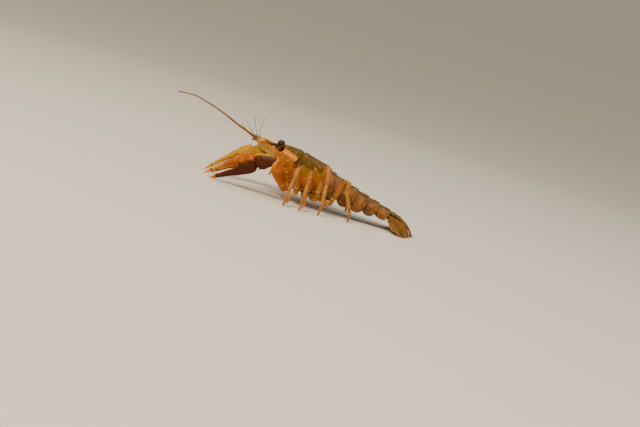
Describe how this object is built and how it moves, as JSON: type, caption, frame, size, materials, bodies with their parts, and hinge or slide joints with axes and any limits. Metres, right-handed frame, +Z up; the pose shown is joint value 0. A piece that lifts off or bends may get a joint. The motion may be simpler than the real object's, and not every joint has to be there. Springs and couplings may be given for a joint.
{
  "type": "spiny-cheek crayfish",
  "caption": "Still life-size crayfish model, head raised and claws reaching down to the floor, with spiny cheeks, banded tail and long feelers.",
  "frame": {"origin": "middle of the model's box at floor level", "axes": "the head points to -X and the tail to +X, the animal's left side faces -Y, +Z is up"},
  "size_m": [0.129, 0.0522, 0.0375],
  "materials": {
    "shell": "wet olive-brown shell with dark mottling",
    "abdomen_shell": "olive-brown plates, each with a dark red cross band",
    "tail_shell": "thin brown blades with paler edges",
    "claw_shell": "yellow-green above, dark below, orange finger tips",
    "leg_shell": "pale tan, slightly see-through looking shell",
    "pale_shell": "pale tan underside",
    "feeler": "reddish brown, ringed",
    "eye": "black and glossy"
  },
  "bodies": {
    "root": {"abdomen_1": "abdomen_shell", "abdomen_2": "abdomen_shell", "abdomen_3": "abdomen_shell", "abdomen_4": "abdomen_shell", "abdomen_5": "abdomen_shell", "abdomen_6": "abdomen_shell", "antenna_base_left": "pale_shell", "antenna_base_right": "pale_shell", "antenna_flagellum_left_1": "feeler", "antenna_flagellum_left_2": "feeler", "antenna_flagellum_right_1": "feeler", "antenna_flagellum_right_2": "feeler", "antenna_scale_left": "shell", "antenna_scale_right": "shell", "antennule_left": "feeler", "antennule_right": "feeler", "carapace": "shell", "claw_arm_left": "claw_shell", "claw_arm_right": "claw_shell", "claw_finger_left": "claw_shell", "claw_finger_right": "claw_shell", "claw_palm_left": "claw_shell", "claw_palm_right": "claw_shell", "claw_root_left": "pale_shell", "claw_root_right": "pale_shell", "claw_wrist_left": "claw_shell", "claw_wrist_right": "claw_shell", "endopod_left": "tail_shell", "endopod_right": "tail_shell", "exopod_left": "tail_shell", "exopod_right": "tail_shell", "eye_left": "eye", "eye_right": "eye", "head_core": "pale_shell", "leg_2_left_lower": "leg_shell", "leg_2_left_upper": "leg_shell", "leg_2_right_lower": "leg_shell", "leg_2_right_upper": "leg_shell", "leg_3_left_lower": "leg_shell", "leg_3_left_upper": "leg_shell", "leg_3_right_lower": "leg_shell", "leg_3_right_upper": "leg_shell", "leg_4_left_lower": "leg_shell", "leg_4_left_upper": "leg_shell", "leg_4_right_lower": "leg_shell", "leg_4_right_upper": "leg_shell", "leg_5_left_lower": "leg_shell", "leg_5_left_upper": "leg_shell", "leg_5_right_lower": "leg_shell", "leg_5_right_upper": "leg_shell", "maxilliped_left": "pale_shell", "maxilliped_right": "pale_shell", "telson": "tail_shell", "thorax_core": "pale_shell"}
  },
  "joints": []
}
